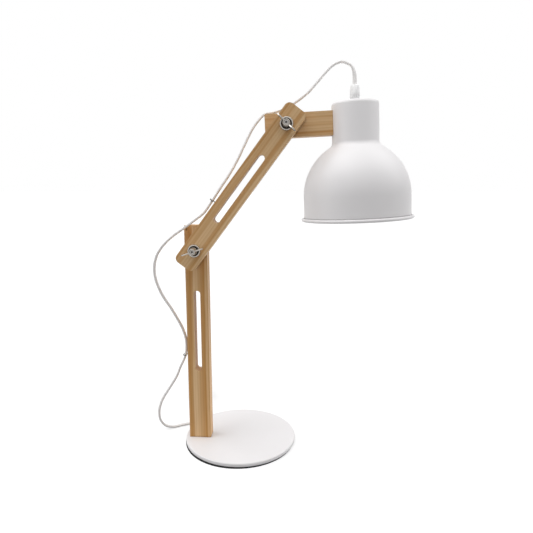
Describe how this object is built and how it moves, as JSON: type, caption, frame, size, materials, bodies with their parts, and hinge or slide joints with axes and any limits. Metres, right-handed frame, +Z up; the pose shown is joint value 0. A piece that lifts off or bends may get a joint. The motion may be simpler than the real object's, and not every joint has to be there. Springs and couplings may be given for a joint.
{
  "type": "desk lamp",
  "caption": "Adjustable desk lamp: wooden slat post, swing arm and head arm on wing-nut pivots, white bell shade, round steel base and a corded inline switch.",
  "frame": {"origin": "middle of the base's underside, on the table", "axes": "+Z up; the slats lie in planes square to Y, with -Y towards the wing nuts; +X from the post towards the shade"},
  "size_m": [0.3414, 0.3032, 0.4961],
  "materials": {
    "paint": "satin white powder coat",
    "pad": "dark foam pad",
    "wood": "clear-lacquered light wood",
    "nickel": "bright nickel plate",
    "zinc": "zinc plate",
    "fibre": "pressed fibre",
    "white_plastic": "moulded white plastic",
    "insert_plastic": "moulded heat-proof plastic",
    "brass": "plain brass",
    "cord": "soft light grey PVC",
    "tie": "thin white band"
  },
  "bodies": {
    "stand": {"base_plate": "paint", "base_pad": "pad", "post": "wood", "post_screws": "zinc", "lower_bolt": "zinc", "lower_back_washer": "zinc", "lower_friction_washer": "fibre", "post_hook": "nickel", "cord_lower": "cord", "cord_hank": "cord", "cord_tie": "tie", "switch_base": "white_plastic", "switch_cover": "white_plastic", "switch_screws": "zinc", "switch_contacts": "brass", "plug_body": "white_plastic", "plug_pins": "nickel"},
    "arm": {"swing_arm": "wood", "lower_front_washer": "nickel", "upper_front_washer": "nickel", "arm_hook": "nickel", "cord_middle": "cord"},
    "head": {"head_arm": "wood", "upper_bolt": "zinc", "upper_back_washer": "zinc", "upper_friction_washer": "fibre", "head_screws": "zinc", "shade": "paint", "cord_grip": "white_plastic", "grip_screw": "zinc", "holder_locknut": "zinc", "holder_cap": "white_plastic", "holder_skirt": "white_plastic", "holder_insert": "insert_plastic", "thread_shell": "brass", "centre_contact": "brass", "terminal_screws": "brass", "cord_upper": "cord"},
    "lower_nut": {"lower_wing_nut": "nickel"},
    "upper_nut": {"upper_wing_nut": "nickel"},
    "rocker": {"switch_rocker": "white_plastic"}
  },
  "joints": [
    {"name": "lower_pivot", "type": "hinge", "parent": "stand", "child": "arm", "pos_m": [-0.05295, -0.0218, 0.267], "axis": [0, -1, 0], "range_deg": [-50, 40], "deforming": ["cord_middle"]},
    {"name": "upper_pivot", "type": "hinge", "parent": "arm", "child": "head", "pos_m": [0.06221, -0.0218, 0.42038], "axis": [0, -1, 0], "range_deg": [-30, 75], "deforming": ["cord_upper"]},
    {"name": "lower_nut_turn", "type": "hinge", "parent": "stand", "child": "lower_nut", "pos_m": [-0.05295, -0.036, 0.267], "axis": [0, -1, 0], "range_deg": [0, 180]},
    {"name": "upper_nut_turn", "type": "hinge", "parent": "head", "child": "upper_nut", "pos_m": [0.06221, -0.036, 0.42038], "axis": [0, -1, 0], "range_deg": [0, 180]},
    {"name": "switch_rock", "type": "hinge", "parent": "stand", "child": "rocker", "pos_m": [-0.0752, 0.08645, 0.0115], "axis": [-0.9781, -0.2079, 0], "range_deg": [0, 14]}
  ]
}
